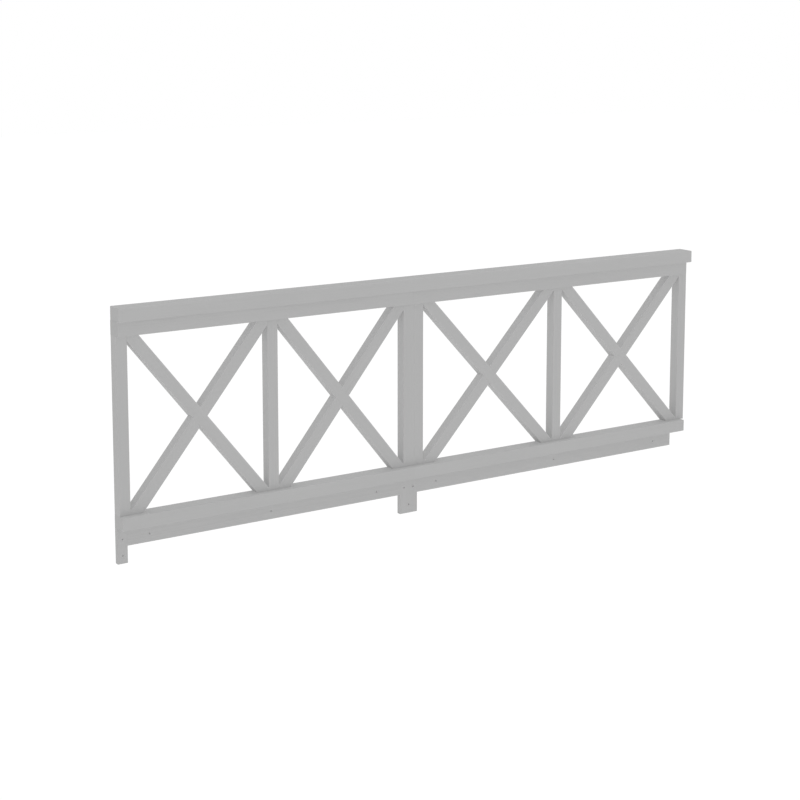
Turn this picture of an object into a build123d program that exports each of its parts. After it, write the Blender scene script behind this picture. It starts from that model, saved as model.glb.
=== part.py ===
from build123d import *
import math
import os

os.makedirs("parts", exist_ok=True)

# A straight timber guard railing of two braced panels under one cap rail, hung on a row of boards
# that are screwed to the face of a floor edge. Millimetres. X runs along the railing, Z is up and
# the front faces minus Y. The origin lies on the back face of the centre fixing tab, so every board
# touches the wall at Y = 0.

# Heights
underside_above_origin = 100.0
bottom_rail_height = 60.0
clear_height = 812.0
top_rail_height = 66.0
cap_thickness = 62.0

# Depths, all measured forward from the common back face
cap_depth = 95.0
top_rail_depth = 76.0
bottom_rail_depth = 84.0
frame_depth = 55.0
board_thickness = 24.0

# Widths along the railing
stile_width = 53.0
wide_stile_width = 62.0
left_bay_width = 697.0
right_bay_width = 812.0
rail_setback = 20.0

# Braces, whose centre lines meet the rails a little way in from the stiles
brace_width = 57.0
left_top_inset = 16.0
left_bottom_inset = 24.0
right_top_inset = 26.0
right_bottom_inset = 30.0

# Fixing boards under the bottom rail
strip_height = 87.0
strip_end_setback = 67.0
left_tab_width = 48.0
left_tab_height = 166.0
centre_tab_width = 100.0
centre_tab_height = 185.0

# Screw holes. A strip has one near each end and one under the middle stile, all level below the bottom rail.
hole_radius = 4.5
left_strip_first_hole = 107.0
left_strip_last_hole = 138.0
right_strip_first_hole = 114.0
right_strip_last_hole = 125.0
right_middle_hole_shift = 10.0
strip_hole_drop = 50.0
tab_upper_hole_drop = 55.0
left_tab_hole_spacing = 75.0
centre_tab_hole_spacing = 53.0
centre_tab_lower_hole_drop = 143.0

# Eased edges. The cap's upper edges and corners are rounded for the hand, all others only lose their arris.
arris = 1.0
cap_edge_radius = 3.0

# Levels and places that follow
bottom_rail_z = underside_above_origin
bottom_rail_top_z = bottom_rail_z + bottom_rail_height
top_rail_z = bottom_rail_top_z + clear_height
cap_z = top_rail_z + top_rail_height

# The left panel ends with the wide stile, and the centre tab starts under that stile's left edge
panel_width_left = stile_width * 2 + left_bay_width * 2 + wide_stile_width
panel_width_right = stile_width * 3 + right_bay_width * 2
overall_length = panel_width_left + panel_width_right
centre_tab_from_end = panel_width_left - wide_stile_width
left_end_x = -(centre_tab_from_end + centre_tab_width / 2)
right_end_x = left_end_x + overall_length
centre_joint_x = left_end_x + panel_width_left
rail_joint_x = centre_joint_x - rail_setback
rail_end_x = right_end_x - rail_setback


def front_block(x_from, x_to, z_from, z_to):
    """Rectangle on the back plane between two places along the railing and two levels."""
    with Locations(((x_from + x_to) / 2, (z_from + z_to) / 2)):
        Rectangle(x_to - x_from, z_to - z_from)


def save(piece, name):
    """Names a finished piece and writes it to its own file."""
    piece.part.label = name
    export_step(piece.part, f"parts/{name}.step")


def make_rail(name, x_from, x_to, z_from, height, depth):
    """Horizontal rail with its four long edges eased."""
    with BuildPart() as rail:
        with BuildSketch(Plane.XZ):
            front_block(x_from, x_to, z_from, z_from + height)
        extrude(amount=depth)
        chamfer(rail.edges().filter_by(Axis.X), length=arris)
    save(rail, name)


def make_stile(name, x_from, width):
    """Upright between the rails with its four upright edges eased."""
    with BuildPart() as stile:
        with BuildSketch(Plane.XZ):
            front_block(x_from, x_from + width, bottom_rail_top_z, top_rail_z)
        extrude(amount=frame_depth)
        chamfer(stile.edges().filter_by(Axis.Z), length=arris)
    save(stile, name)


def diagonal_band(bay_x, bay_width, top_inset, bottom_inset, rising):
    """Band of the brace's width across one bay, longer than the bay at both ends."""
    left_inset, right_inset = (bottom_inset, top_inset) if rising else (top_inset, bottom_inset)
    run = bay_width - left_inset - right_inset
    slope = math.degrees(math.atan2(clear_height, run))
    with Locations((bay_x + left_inset + run / 2, bottom_rail_top_z + clear_height / 2)):
        Rectangle(2 * (bay_width + clear_height), brace_width, rotation=slope if rising else -slope)


def make_brace(name, bay_x, bay_width, top_inset, bottom_inset, rising):
    """Diagonal of one bay, halved into the other diagonal where they cross and trimmed to the bay's corners.

    The falling brace keeps its front half at the crossing and the rising brace keeps its back half.
    """
    half_depth = frame_depth / 2
    with BuildPart() as brace:
        with BuildSketch(Plane.XZ):
            diagonal_band(bay_x, bay_width, top_inset, bottom_inset, rising)
        extrude(amount=frame_depth)
        chamfer(brace.edges().sort_by(SortBy.LENGTH)[-4:], length=arris)
        with BuildSketch(Plane.XZ.offset(half_depth if rising else 0)):
            diagonal_band(bay_x, bay_width, top_inset, bottom_inset, not rising)
        extrude(amount=half_depth, mode=Mode.SUBTRACT)
        with BuildSketch(Plane.XZ):
            front_block(bay_x, bay_x + bay_width, bottom_rail_top_z, top_rail_z)
        extrude(amount=frame_depth, mode=Mode.INTERSECT)
    save(brace, name)


def make_board(name, x_from, x_to, height, holes):
    """Board hung flat under the bottom rail, drilled right through at each place and drop in holes."""
    with BuildPart() as board:
        with BuildSketch(Plane.XZ):
            front_block(x_from, x_to, bottom_rail_z - height, bottom_rail_z)
        extrude(amount=board_thickness)
        for x, drop in holes:
            with Locations(Plane(origin=(x, -board_thickness, bottom_rail_z - drop), z_dir=(0, -1, 0))):
                Hole(radius=hole_radius)
    save(board, name)


# Cap rail over the whole length
with BuildPart() as cap:
    with BuildSketch(Plane.XZ):
        front_block(left_end_x, right_end_x, cap_z, cap_z + cap_thickness)
    extrude(amount=cap_depth)
    corner_edges, upper_edges = cap.edges().group_by(Axis.Z)[1:]
    fillet(corner_edges + upper_edges, radius=cap_edge_radius)
    chamfer(cap.edges().group_by(Axis.Z)[0], length=arris)
save(cap, "cap_rail")

# Top and bottom rails, each in two lengths that meet near the centre
make_rail("top_rail_left", left_end_x, rail_joint_x, top_rail_z, top_rail_height, top_rail_depth)
make_rail("top_rail_right", rail_joint_x, rail_end_x, top_rail_z, top_rail_height, top_rail_depth)
make_rail("bottom_rail_left", left_end_x, rail_joint_x, bottom_rail_z, bottom_rail_height, bottom_rail_depth)
make_rail("bottom_rail_right", rail_joint_x, rail_end_x, bottom_rail_z, bottom_rail_height, bottom_rail_depth)

# Uprights from the left end, each with its width and the gap to the next one
uprights = (
    ("end_stile_left", stile_width, left_bay_width),
    ("middle_stile_left", stile_width, left_bay_width),
    ("centre_stile_left", wide_stile_width, 0.0),
    ("centre_stile_right", stile_width, right_bay_width),
    ("middle_stile_right", stile_width, right_bay_width),
    ("end_stile_right", stile_width, 0.0),
)
stile_middle_x = {}
bay_starts = []
x = left_end_x
for stile_name, width, gap in uprights:
    make_stile(stile_name, x, width)
    stile_middle_x[stile_name] = x + width / 2
    if gap > 0:
        bay_starts.append(x + width)
    x += width + gap

# Two crossed braces in each bay
left_bay = (left_bay_width, left_top_inset, left_bottom_inset)
right_bay = (right_bay_width, right_top_inset, right_bottom_inset)
for number, (bay_x, bay) in enumerate(zip(bay_starts, (left_bay, left_bay, right_bay, right_bay)), start=1):
    make_brace(f"bay_{number}_brace_falling", bay_x, *bay, rising=False)
    make_brace(f"bay_{number}_brace_rising", bay_x, *bay, rising=True)

# Fixing tabs and the strips between them
left_tab_to = left_end_x + left_tab_width
centre_tab_from = -centre_tab_width / 2
centre_tab_to = centre_tab_width / 2
left_tab_x = left_end_x + left_tab_width / 2
make_board("fixing_tab_left", left_end_x, left_tab_to, left_tab_height, (
    (left_tab_x, tab_upper_hole_drop),
    (left_tab_x, tab_upper_hole_drop + left_tab_hole_spacing),
))
make_board("fixing_tab_centre", centre_tab_from, centre_tab_to, centre_tab_height, (
    (-centre_tab_hole_spacing / 2, tab_upper_hole_drop),
    (centre_tab_hole_spacing / 2, tab_upper_hole_drop),
    (0.0, centre_tab_lower_hole_drop),
))
make_board("fixing_strip_left", left_tab_to, centre_tab_from, strip_height, (
    (left_tab_to + left_strip_first_hole, strip_hole_drop),
    (stile_middle_x["middle_stile_left"], strip_hole_drop),
    (centre_tab_from - left_strip_last_hole, strip_hole_drop),
))
right_strip_to = right_end_x - strip_end_setback
make_board("fixing_strip_right", centre_tab_to, right_strip_to, strip_height, (
    (centre_tab_to + right_strip_first_hole, strip_hole_drop),
    (stile_middle_x["middle_stile_right"] + right_middle_hole_shift, strip_hole_drop),
    (right_strip_to - right_strip_last_hole, strip_hole_drop),
))
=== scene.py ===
import math

import bmesh
import bpy
from bpy.props import FloatProperty, FloatVectorProperty, PointerProperty
from mathutils import Euler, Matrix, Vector


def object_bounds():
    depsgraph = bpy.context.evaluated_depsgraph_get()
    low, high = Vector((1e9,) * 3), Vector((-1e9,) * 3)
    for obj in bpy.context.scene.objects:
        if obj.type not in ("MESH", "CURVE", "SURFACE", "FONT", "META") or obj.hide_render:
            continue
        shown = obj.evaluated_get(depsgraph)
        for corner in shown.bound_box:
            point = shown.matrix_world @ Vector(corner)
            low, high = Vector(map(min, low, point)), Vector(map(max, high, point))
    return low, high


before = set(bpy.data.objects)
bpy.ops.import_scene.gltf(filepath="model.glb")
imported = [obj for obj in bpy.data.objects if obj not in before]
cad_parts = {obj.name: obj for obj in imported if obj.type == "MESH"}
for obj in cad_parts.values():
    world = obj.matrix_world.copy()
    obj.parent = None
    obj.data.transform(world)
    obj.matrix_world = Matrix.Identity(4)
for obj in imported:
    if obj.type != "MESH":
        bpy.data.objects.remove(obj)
cad_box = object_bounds()

bl_info = {
    "name": "Timber safety railing",
    "version": (1, 0, 0),
    "blender": (4, 5, 0),
    "location": "View3D > Sidebar > Railing",
    "description": "Paints the timbers of a cross-braced safety railing and sets a plain studio round it",
    "category": "Object",
}

# Timbers by the way their grain runs. A timber's place in the whole row sets its own stretch of the pattern.
CAP = ("cap_rail",)
RAILS = ("top_rail_left", "top_rail_right", "bottom_rail_left", "bottom_rail_right")
STILES = (
    "end_stile_left",
    "middle_stile_left",
    "centre_stile_left",
    "centre_stile_right",
    "middle_stile_right",
    "end_stile_right",
)
LEFT_BRACES = ("bay_1_brace_falling", "bay_1_brace_rising", "bay_2_brace_falling", "bay_2_brace_rising")
RIGHT_BRACES = ("bay_3_brace_falling", "bay_3_brace_rising", "bay_4_brace_falling", "bay_4_brace_rising")
STRIPS = ("fixing_strip_left", "fixing_strip_right")
TABS = ("fixing_tab_left", "fixing_tab_centre")
TIMBERS = CAP + RAILS + STILES + LEFT_BRACES + RIGHT_BRACES + STRIPS + TABS

# Slopes of the grain
LEVEL = 0.0
UPRIGHT = math.pi / 2

# Grain and brush marks. Waves are counted per metre along and across the timber, details are the finer layers
# of a noise, distances are in metres, and the rings' rise and drop are shares of a ring.
RING_WAVES = (1.1, 14.0, 14.0)
RING_DETAIL = 2.0
RING_WANDER = (0.0, 0.016, 0.016)
RING_RISE_TO = 0.82
RING_DROP_FROM = 0.86
FIBRE_WAVES = (9.0, 800.0, 800.0)
FIBRE_DETAIL = 2.0
FIBRE_ROUGHNESS = 0.6
BRUSH_WAVES = (2.5, 2.5, 2.5)
BRUSH_DETAIL = 1.0
BRUSH_WANDER = (0.0, 0.01, 0.01)
STREAK_WAVES = (3.0, 260.0, 260.0)
STREAK_DETAIL = 3.0
STREAK_ROUGHNESS = 0.55
CLOUD_WAVES = (1.6, 9.0, 9.0)
CLOUD_DETAIL = 2.0
NOISE_MIDDLE = (0.5, 0.5, 0.5)
ACROSS_GRAIN = (0.0, 1.0, 1.0)

# A sawn end fades out between these two depths behind it, in metres
END_FULL = 0.0002
END_GONE = 0.0006

# What each mask does to the coat: the mask's range, then the factor or amount at either end of it
CLOUD_SHADE = (0.3, 0.7, 0.986, 1.010)
RING_SHADE = (0.0, 1.0, 1.008, 0.978)
STREAK_SHADE = (0.35, 0.65, 0.988, 1.010)
# Edges darken partly for thinner paint and partly as painted shade that tones down the light they catch and
# darkens the seams between timbers
ARRIS_THIN_COAT_AND_PAINTED_SHADE = (0.0, 1.0, 1.0, 0.97)
END_SHADE = (0.0, 1.0, 1.0, 0.975)
STREAK_ROUGH = (0.3, 0.7, 0.66, 0.74)
END_ROUGH = (0.0, 1.0, 0.0, 0.12)
END_RELIEF = (0.0, 1.0, 1.0, 1.8)

ARRIS_POLISH = 0.05
RING_PART = 0.7
FIBRE_PART = 0.3
PAINT_SPECULAR = 0.25

# The pattern's start and the heart of the tree, in metres, with turns in radians from one timber to the next
PATTERN_STEP = 3.7
HEART_OUT = 0.045
HEART_OUT_SWING = 0.012
HEART_OUT_TURN = 2.4
HEART_UP_SWING = 0.05
HEART_UP_TURN = 1.9

WHITE = (1.0, 1.0, 1.0, 1.0)
FILM_WIDTH = 36.0

FLOAT = "NodeSocketFloat"
VECTOR = "NodeSocketVector"
COLOUR = "NodeSocketColor"
NODE_STEP = 180


def brace_slope(node):
    """Slope of a brace, read from the largest of its faces that isn't its front or back."""
    sides = [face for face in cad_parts[node].data.polygons
             if abs(face.normal.y) < max(abs(face.normal.x), abs(face.normal.z))]
    largest = max(sides, key=lambda face: face.area)
    return math.atan2(abs(largest.normal.x), abs(largest.normal.z))


class RailingPaintSettings(bpy.types.PropertyGroup):
    """Colours and surface of the paint"""

    cap_colour: FloatVectorProperty(
        name="Cap colour", description="Paint on the cap rail",
        subtype="COLOR", size=3, default=(0.400, 0.400, 0.400), min=0, max=1,
    )
    frame_colour: FloatVectorProperty(
        name="Frame colour", description="Paint on the rails, stiles and braces",
        subtype="COLOR", size=3, default=(0.395, 0.395, 0.395), min=0, max=1,
    )
    board_colour: FloatVectorProperty(
        name="Board colour", description="Paint on the fixing boards",
        subtype="COLOR", size=3, default=(0.385, 0.385, 0.385), min=0, max=1,
    )
    ring_spacing: FloatProperty(
        name="Ring spacing", description="Distance between growth rings that show through the paint",
        unit="LENGTH", default=0.0045, min=0.001, max=0.02,
    )
    grain_relief: FloatProperty(
        name="Grain relief", description="Height of the grain that shows through the paint",
        unit="LENGTH", default=0.00016, min=0, max=0.002,
    )
    brush_relief: FloatProperty(
        name="Brush relief", description="Height of the brush marks",
        unit="LENGTH", default=0.00006, min=0, max=0.001,
    )
    # The arris width also sets the band of painted shade along the edges and the seams between timbers
    arris_width: FloatProperty(
        name="Arris width", description="Width of the eased edge on which the paint is thinner",
        unit="LENGTH", default=0.003, min=0.0005, max=0.02,
    )


class RailingBraceSettings(bpy.types.PropertyGroup):
    """Slopes of the grain in the braces"""

    left_slope: FloatProperty(
        name="Left slope", description="Slope of the braces in the two left bays",
        unit="ROTATION", default=brace_slope(LEFT_BRACES[0]),
    )
    right_slope: FloatProperty(
        name="Right slope", description="Slope of the braces in the two right bays",
        unit="ROTATION", default=brace_slope(RIGHT_BRACES[0]),
    )


class RailingStageSettings(bpy.types.PropertyGroup):
    """Camera, floor and light"""

    camera_place: FloatVectorProperty(
        name="Camera place", description="Where the camera stands",
        subtype="TRANSLATION", unit="LENGTH", size=3, default=(-4.3369, -6.6024, 2.3251),
    )
    camera_tilt: FloatProperty(
        name="Camera tilt", description="How far the camera looks down",
        unit="ROTATION", default=math.radians(7.549),
    )
    camera_turn: FloatProperty(
        name="Camera turn", description="How far the camera is turned to the right of straight ahead",
        unit="ROTATION", default=math.radians(33.086),
    )
    lens: FloatProperty(
        name="Lens", description="Focal length in millimetres", default=73.608, min=10, max=300,
    )
    frame_shift: FloatProperty(
        name="Frame shift", description="Vertical shift of the picture as a share of its width", default=-0.2,
    )
    floor_drop: FloatProperty(
        name="Floor drop", description="How far the floor lies under the lowest board",
        unit="LENGTH", default=0.9,
    )
    floor_reach: FloatProperty(
        name="Floor reach", description="Half the width of the floor", unit="LENGTH", default=40.0,
    )
    sky_light: FloatProperty(
        name="Sky light", description="Strength of the light from all round", default=0.49, min=0,
    )
    front_fill: FloatProperty(
        name="Front fill", description="Shadowless light on the front and the back, as a share of full light",
        default=0.35, min=0,
    )
    end_fill: FloatProperty(
        name="End fill", description="Shadowless light on the two ends, as a share of full light",
        default=0.31, min=0,
    )
    top_fill: FloatProperty(
        name="Top fill", description="Shadowless light from above, as a share of full light",
        default=0.55, min=0,
    )
    top_lean: FloatProperty(
        name="Top lean", description="How far the light from above leans to the right end",
        unit="ROTATION", default=math.radians(14),
    )


# Shader nodes


def add(tree, kind, **settings):
    """A node of that kind with these settings, beside the ones that the tree holds already."""
    node = tree.nodes.new(kind)
    node.location.x = NODE_STEP * (len(tree.nodes) - 1)
    for name, value in settings.items():
        setattr(node, name, value)
    return node


def feed(tree, socket, source):
    """Links a source socket to an input, or sets the input to a plain value."""
    if isinstance(source, bpy.types.NodeSocket):
        tree.links.new(source, socket)
    else:
        socket.default_value = source


def math_node(tree, operation, *sources):
    """Result of one sum on sockets or numbers."""
    node = add(tree, "ShaderNodeMath", operation=operation)
    for socket, source in zip(node.inputs, sources):
        feed(tree, socket, source)
    return node.outputs["Value"]


def vector_node(tree, operation, *sources, output="Vector"):
    """Result of one vector sum on sockets or values."""
    node = add(tree, "ShaderNodeVectorMath", operation=operation)
    used = [socket for socket in node.inputs if socket.enabled]
    for socket, source in zip(used, sources):
        feed(tree, socket, source)
    return node.outputs[output]


def noise(tree, vector, waves, detail, roughness=0.5):
    """Node of soft noise that swings that many times in each metre along each axis."""
    node = add(tree, "ShaderNodeTexNoise")
    feed(tree, node.inputs["Vector"], vector_node(tree, "MULTIPLY", vector, waves))
    for name, value in (("Scale", 1.0), ("Detail", detail), ("Roughness", roughness)):
        node.inputs[name].default_value = value
    return node


def wander(tree, vector, waves, detail, width):
    """The vector, carried to and fro across that width by soft noise."""
    drift = noise(tree, vector, waves, detail).outputs["Color"]
    drift = vector_node(tree, "SUBTRACT", drift, NOISE_MIDDLE)
    drift = vector_node(tree, "MULTIPLY", drift, width)
    return vector_node(tree, "ADD", vector, drift)


def remap(tree, value, low, high, at_low=0.0, at_high=1.0, smooth=False):
    """Value moved from one range to another and held inside it."""
    course = "SMOOTHSTEP" if smooth else "LINEAR"
    node = add(tree, "ShaderNodeMapRange", clamp=True, interpolation_type=course)
    sources = {"Value": value, "From Min": low, "From Max": high, "To Min": at_low, "To Max": at_high}
    for name, source in sources.items():
        feed(tree, node.inputs[name], source)
    return node.outputs["Result"]


def new_group(name, inputs, outputs):
    """An empty shader node group with these sockets, and its input and output nodes."""
    group = bpy.data.node_groups.new(name, "ShaderNodeTree")
    for way, sockets in (("INPUT", inputs), ("OUTPUT", outputs)):
        for socket, kind in sockets.items():
            group.interface.new_socket(socket, in_out=way, socket_type=kind)
    return group, add(group, "NodeGroupInput"), add(group, "NodeGroupOutput")


def make_grain_group():
    """Growth rings and fibres of a sawn timber whose grain runs along the vector's X."""
    group, given, made = new_group(
        "Timber grain",
        {"Vector": VECTOR, "Pith": VECTOR, "Ring Spacing": FLOAT},
        {"Rings": FLOAT, "Fibres": FLOAT},
    )
    bent = wander(group, given.outputs["Vector"], RING_WAVES, RING_DETAIL, RING_WANDER)
    from_heart = vector_node(group, "ADD", bent, given.outputs["Pith"])
    across = vector_node(group, "MULTIPLY", from_heart, ACROSS_GRAIN)
    radius = vector_node(group, "LENGTH", across, output="Value")
    turns = math_node(group, "DIVIDE", radius, given.outputs["Ring Spacing"])
    part = math_node(group, "FRACT", turns)
    # Late wood rises slowly to the ring's edge and then drops
    rise = remap(group, part, 0.0, RING_RISE_TO, smooth=True)
    drop = remap(group, part, RING_DROP_FROM, 1.0, 1.0, 0.0, smooth=True)
    group.links.new(math_node(group, "MULTIPLY", rise, drop), made.inputs["Rings"])
    fibres = noise(group, given.outputs["Vector"], FIBRE_WAVES, FIBRE_DETAIL, FIBRE_ROUGHNESS)
    group.links.new(fibres.outputs["Fac"], made.inputs["Fibres"])
    return group


def make_brush_group():
    """Long soft streaks that a brush leaves along the vector's X."""
    group, given, made = new_group("Brush marks", {"Vector": VECTOR}, {"Streaks": FLOAT})
    stroke = wander(group, given.outputs["Vector"], BRUSH_WAVES, BRUSH_DETAIL, BRUSH_WANDER)
    streaks = noise(group, stroke, STREAK_WAVES, STREAK_DETAIL, STREAK_ROUGHNESS)
    group.links.new(streaks.outputs["Fac"], made.inputs["Streaks"])
    return group


def make_edge_group():
    """How near a point on a squared timber is to its long edges, and whether it is on a sawn end."""
    group, given, made = new_group(
        "Timber edges",
        {"Vector": VECTOR, "Half Size": VECTOR, "Width": FLOAT},
        {"Arris": FLOAT, "End": FLOAT},
    )
    inside = vector_node(group, "ABSOLUTE", given.outputs["Vector"])
    inside = vector_node(group, "SUBTRACT", given.outputs["Half Size"], inside)
    parts = add(group, "ShaderNodeSeparateXYZ")
    group.links.new(inside, parts.inputs["Vector"])
    x, y, z = (parts.outputs[name] for name in "XYZ")
    # On the surface the nearest face is at no distance, so the second nearest is the edge's
    nearer = math_node(group, "MINIMUM", y, z)
    farther = math_node(group, "MAXIMUM", y, z)
    second = math_node(group, "MAXIMUM", nearer, math_node(group, "MINIMUM", farther, x))
    arris = remap(group, second, 0.0, given.outputs["Width"], 1.0, 0.0, smooth=True)
    group.links.new(arris, made.inputs["Arris"])
    group.links.new(remap(group, x, END_FULL, END_GONE, 1.0, 0.0), made.inputs["End"])
    return group


def make_paint_group():
    """Coat of paint on a timber: its colour, roughness and relief."""
    group, given, made = new_group(
        "Painted timber",
        {
            "Vector": VECTOR,
            "Half Size": VECTOR,
            "Start": VECTOR,
            "Pith": VECTOR,
            "Colour": COLOUR,
            "Ring Spacing": FLOAT,
            "Grain Relief": FLOAT,
            "Brush Relief": FLOAT,
            "Arris Width": FLOAT,
        },
        {"Colour": COLOUR, "Roughness": FLOAT, "Height": FLOAT},
    )
    wood = add(group, "ShaderNodeGroup", node_tree=make_grain_group())
    marks = add(group, "ShaderNodeGroup", node_tree=make_brush_group())
    rim = add(group, "ShaderNodeGroup", node_tree=make_edge_group())
    stretch = vector_node(group, "ADD", given.outputs["Vector"], given.outputs["Start"])
    group.links.new(stretch, wood.inputs["Vector"])
    group.links.new(stretch, marks.inputs["Vector"])
    group.links.new(given.outputs["Vector"], rim.inputs["Vector"])
    group.links.new(given.outputs["Pith"], wood.inputs["Pith"])
    group.links.new(given.outputs["Ring Spacing"], wood.inputs["Ring Spacing"])
    group.links.new(given.outputs["Half Size"], rim.inputs["Half Size"])
    group.links.new(given.outputs["Arris Width"], rim.inputs["Width"])
    rings, fibres = wood.outputs["Rings"], wood.outputs["Fibres"]
    streaks, arris, end = marks.outputs["Streaks"], rim.outputs["Arris"], rim.outputs["End"]

    # Shade of the coat: thinner over hard rings, drawn into the open end grain, and darker along the edges,
    # partly for thinner paint and partly as painted shade that tones down the light the eased edges catch and
    # darkens the seams between timbers
    cloud = noise(group, stretch, CLOUD_WAVES, CLOUD_DETAIL).outputs["Fac"]
    shade = remap(group, cloud, *CLOUD_SHADE)
    changes = ((rings, RING_SHADE), (streaks, STREAK_SHADE), (arris, ARRIS_THIN_COAT_AND_PAINTED_SHADE), (end, END_SHADE))
    for mask, change in changes:
        shade = math_node(group, "MULTIPLY", shade, remap(group, mask, *change))
    tint = vector_node(group, "SCALE", given.outputs["Colour"], shade)
    group.links.new(tint, made.inputs["Colour"])

    rough = remap(group, streaks, *STREAK_ROUGH)
    rough = math_node(group, "ADD", rough, remap(group, end, *END_ROUGH))
    rough = math_node(group, "SUBTRACT", rough, math_node(group, "MULTIPLY", arris, ARRIS_POLISH))
    group.links.new(rough, made.inputs["Roughness"])

    # Height of the coat in metres, with the grain standing out more on a sawn end
    ring_relief = math_node(group, "MULTIPLY", rings, RING_PART)
    fibre_relief = math_node(group, "MULTIPLY", fibres, FIBRE_PART)
    relief = math_node(group, "ADD", ring_relief, fibre_relief)
    relief = math_node(group, "MULTIPLY", relief, given.outputs["Grain Relief"])
    relief = math_node(group, "MULTIPLY", relief, remap(group, end, *END_RELIEF))
    coat = math_node(group, "MULTIPLY", streaks, given.outputs["Brush Relief"])
    group.links.new(math_node(group, "ADD", relief, coat), made.inputs["Height"])
    return group


def paint_group():
    """The painted timber group, built once."""
    return bpy.data.node_groups.get("Painted timber") or make_paint_group()


# Painting the timbers


def timber_box(node, slope):
    """Middle and half size of a timber in its own frame, whose X runs along the grain at that slope."""
    turn = Euler((0.0, -slope, 0.0)).to_matrix()
    corners = [turn.inverted() @ vertex.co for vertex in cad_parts[node].data.vertices]
    low = Vector([min(values) for values in zip(*corners)])
    high = Vector([max(values) for values in zip(*corners)])
    return turn @ ((low + high) / 2), (high - low) / 2


def start_of(order):
    """Where in the pattern a timber starts, past the end of the one before it."""
    return Vector((PATTERN_STEP * order, 0.0, 0.0))


def pith_of(order):
    """Where the heart of the tree lay beside a timber, different for each one."""
    out = HEART_OUT + HEART_OUT_SWING * math.sin(HEART_OUT_TURN * order)
    return Vector((0.0, out, HEART_UP_SWING * math.cos(HEART_UP_TURN * order)))


def paint_timber(node, slope, colour, paint):
    """Gives one timber its own coat, with the grain along its length."""
    middle, half = timber_box(node, slope)
    order = TIMBERS.index(node)
    material = bpy.data.materials.new(f"painted_{node}")
    material.use_nodes = True
    tree = material.node_tree
    tree.nodes.clear()

    place = add(tree, "ShaderNodeTexCoord")
    own = add(tree, "ShaderNodeMapping", vector_type="TEXTURE")
    own.inputs["Location"].default_value = middle
    own.inputs["Rotation"].default_value = (0.0, -slope, 0.0)
    tree.links.new(place.outputs["Object"], own.inputs["Vector"])

    coat = add(tree, "ShaderNodeGroup", node_tree=paint_group())
    tree.links.new(own.outputs["Vector"], coat.inputs["Vector"])
    values = {
        "Half Size": half,
        "Start": start_of(order),
        "Pith": pith_of(order),
        "Colour": (*colour, 1.0),
        "Ring Spacing": paint.ring_spacing,
        "Grain Relief": paint.grain_relief,
        "Brush Relief": paint.brush_relief,
        "Arris Width": paint.arris_width,
    }
    for name, value in values.items():
        coat.inputs[name].default_value = value

    # The coat's height is in metres, so it is taken as it is
    bump = add(tree, "ShaderNodeBump")
    bump.inputs["Strength"].default_value = 1.0
    bump.inputs["Distance"].default_value = 1.0
    tree.links.new(coat.outputs["Height"], bump.inputs["Height"])

    surface = add(tree, "ShaderNodeBsdfPrincipled")
    surface.inputs["Specular IOR Level"].default_value = PAINT_SPECULAR
    tree.links.new(coat.outputs["Colour"], surface.inputs["Base Color"])
    tree.links.new(coat.outputs["Roughness"], surface.inputs["Roughness"])
    tree.links.new(bump.outputs["Normal"], surface.inputs["Normal"])
    output = add(tree, "ShaderNodeOutputMaterial")
    tree.links.new(surface.outputs["BSDF"], output.inputs["Surface"])

    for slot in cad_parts[node].material_slots:
        slot.material = material


class RAILING_OT_paint_cap(bpy.types.Operator):
    """Paints the cap rail"""

    bl_idname = "railing.paint_cap"
    bl_label = "Paint cap rail"

    def execute(self, context):
        paint = context.scene.railing_paint
        for node in CAP:
            paint_timber(node, LEVEL, paint.cap_colour, paint)
        return {"FINISHED"}


class RAILING_OT_paint_rails(bpy.types.Operator):
    """Paints the top and bottom rails"""

    bl_idname = "railing.paint_rails"
    bl_label = "Paint rails"

    def execute(self, context):
        paint = context.scene.railing_paint
        for node in RAILS:
            paint_timber(node, LEVEL, paint.frame_colour, paint)
        return {"FINISHED"}


class RAILING_OT_paint_stiles(bpy.types.Operator):
    """Paints the upright stiles"""

    bl_idname = "railing.paint_stiles"
    bl_label = "Paint stiles"

    def execute(self, context):
        paint = context.scene.railing_paint
        for node in STILES:
            paint_timber(node, UPRIGHT, paint.frame_colour, paint)
        return {"FINISHED"}


class RAILING_OT_paint_braces(bpy.types.Operator):
    """Paints the crossed braces, each along its own slope"""

    bl_idname = "railing.paint_braces"
    bl_label = "Paint braces"

    def execute(self, context):
        paint = context.scene.railing_paint
        braces = context.scene.railing_braces
        for nodes, slope in ((LEFT_BRACES, braces.left_slope), (RIGHT_BRACES, braces.right_slope)):
            for node in nodes:
                rising = node.endswith("rising")
                paint_timber(node, slope if rising else -slope, paint.frame_colour, paint)
        return {"FINISHED"}


class RAILING_OT_paint_boards(bpy.types.Operator):
    """Paints the fixing strips and tabs"""

    bl_idname = "railing.paint_boards"
    bl_label = "Paint fixing boards"

    def execute(self, context):
        paint = context.scene.railing_paint
        for nodes, slope in ((STRIPS, LEVEL), (TABS, UPRIGHT)):
            for node in nodes:
                paint_timber(node, slope, paint.board_colour, paint)
        return {"FINISHED"}


# Stage


def shown_directly(tree):
    """1 for what the camera, a reflection or clear glass shows, 0 for what only lights the scene."""
    path = add(tree, "ShaderNodeLightPath")
    seen = math_node(tree, "MAXIMUM", path.outputs["Is Camera Ray"], path.outputs["Is Glossy Ray"])
    return math_node(tree, "MAXIMUM", seen, path.outputs["Is Transmission Ray"])


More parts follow.
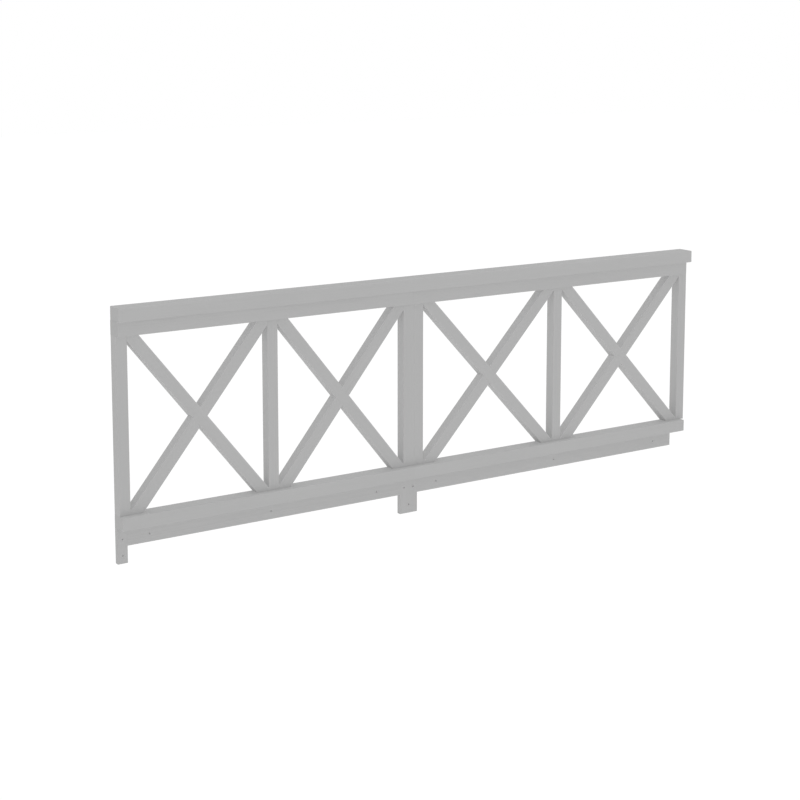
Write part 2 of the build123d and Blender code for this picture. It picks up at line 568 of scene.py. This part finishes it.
def light_sky(scene, strength):
    """Even white light from all round at that strength, with a white background."""
    world = bpy.data.worlds.new("studio")
    world.use_nodes = True
    tree = world.node_tree
    tree.nodes.clear()
    light = add(tree, "ShaderNodeBackground")
    backdrop = add(tree, "ShaderNodeBackground")
    for node, level in ((light, strength), (backdrop, 1.0)):
        node.inputs["Color"].default_value = WHITE
        node.inputs["Strength"].default_value = level
    mix = add(tree, "ShaderNodeMixShader")
    share, unseen, seen = mix.inputs
    tree.links.new(shown_directly(tree), share)
    tree.links.new(light.outputs["Background"], unseen)
    tree.links.new(backdrop.outputs["Background"], seen)
    output = add(tree, "ShaderNodeOutputWorld")
    tree.links.new(mix.outputs["Shader"], output.inputs["Surface"])
    scene.world = world


def lay_floor(scene, level, reach):
    """Wide plain white floor at that level."""
    mesh = bpy.data.meshes.new("floor")
    sheet = bmesh.new()
    bmesh.ops.create_grid(sheet, x_segments=1, y_segments=1, size=reach)
    bmesh.ops.translate(sheet, verts=sheet.verts, vec=(0.0, 0.0, level))
    sheet.to_mesh(mesh)
    sheet.free()
    floor = bpy.data.objects.new("floor", mesh)
    scene.collection.objects.link(floor)
    material = bpy.data.materials.new("floor_white")
    material.use_nodes = True
    surface = material.node_tree.nodes["Principled BSDF"]
    surface.inputs["Base Color"].default_value = WHITE
    surface.inputs["Roughness"].default_value = 1.0
    surface.inputs["Specular IOR Level"].default_value = 0.0
    mesh.materials.append(material)


def hang_fill(scene, name, side, level):
    """Distant lamp without a shadow that lights a face turned to that side at that level."""
    light = bpy.data.lights.new(name, "SUN")
    # At a strength of pi a distant lamp lights a face turned to it fully
    light.energy = level * math.pi
    light.use_shadow = False
    lamp = bpy.data.objects.new(name, light)
    lamp.rotation_euler = Vector(side).to_track_quat("Z", "Y").to_euler()
    lamp.visible_glossy = False
    scene.collection.objects.link(lamp)


def stand_camera(scene, stage):
    """Camera at the photograph's viewing angle."""
    data = bpy.data.cameras.new("camera")
    data.sensor_width = FILM_WIDTH
    data.lens = stage.lens
    data.shift_y = stage.frame_shift
    camera = bpy.data.objects.new("camera", data)
    camera.location = stage.camera_place
    camera.rotation_euler = (math.pi / 2 - stage.camera_tilt, 0.0, -stage.camera_turn)
    scene.collection.objects.link(camera)
    scene.camera = camera


class RAILING_OT_set_stage(bpy.types.Operator):
    """Sets the floor, the light and the camera"""

    bl_idname = "railing.set_stage"
    bl_label = "Set stage"

    def execute(self, context):
        scene = context.scene
        stage = scene.railing_stage
        light_sky(scene, stage.sky_light)
        lay_floor(scene, cad_box[0].z - stage.floor_drop, stage.floor_reach)
        above = (math.sin(stage.top_lean), 0, math.cos(stage.top_lean))
        fills = (
            ("front_fill", (0, -1, 0), stage.front_fill),
            ("back_fill", (0, 1, 0), stage.front_fill),
            ("left_fill", (-1, 0, 0), stage.end_fill),
            ("right_fill", (1, 0, 0), stage.end_fill),
            ("top_fill", above, stage.top_fill),
        )
        for name, side, level in fills:
            hang_fill(scene, name, side, level)
        stand_camera(scene, stage)
        scene.view_settings.view_transform = "Standard"
        return {"FINISHED"}


# Panel and registration

SETTINGS = {
    "railing_paint": RailingPaintSettings,
    "railing_braces": RailingBraceSettings,
    "railing_stage": RailingStageSettings,
}
STEPS = (
    RAILING_OT_paint_cap,
    RAILING_OT_paint_rails,
    RAILING_OT_paint_stiles,
    RAILING_OT_paint_braces,
    RAILING_OT_paint_boards,
    RAILING_OT_set_stage,
)


class RAILING_PT_panel(bpy.types.Panel):
    """Lists the railing's settings and steps"""

    bl_idname = "RAILING_PT_panel"
    bl_label = "Safety railing"
    bl_space_type = "VIEW_3D"
    bl_region_type = "UI"
    bl_category = "Railing"

    def draw(self, context):
        for name, kind in SETTINGS.items():
            box = self.layout.box()
            for setting in kind.__annotations__:
                box.prop(getattr(context.scene, name), setting)
        for step in STEPS:
            self.layout.operator(step.bl_idname)


CLASSES = (*SETTINGS.values(), *STEPS, RAILING_PT_panel)


def register():
    for entry in CLASSES:
        bpy.utils.register_class(entry)
    for name, kind in SETTINGS.items():
        setattr(bpy.types.Scene, name, PointerProperty(type=kind))


def unregister():
    for name in SETTINGS:
        delattr(bpy.types.Scene, name)
    for entry in reversed(CLASSES):
        bpy.utils.unregister_class(entry)


def main():
    """Registers the add-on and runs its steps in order."""
    register()
    bpy.ops.railing.paint_cap()
    bpy.ops.railing.paint_rails()
    bpy.ops.railing.paint_stiles()
    bpy.ops.railing.paint_braces()
    bpy.ops.railing.paint_boards()
    bpy.ops.railing.set_stage()


if __name__ == "__main__":
    main()
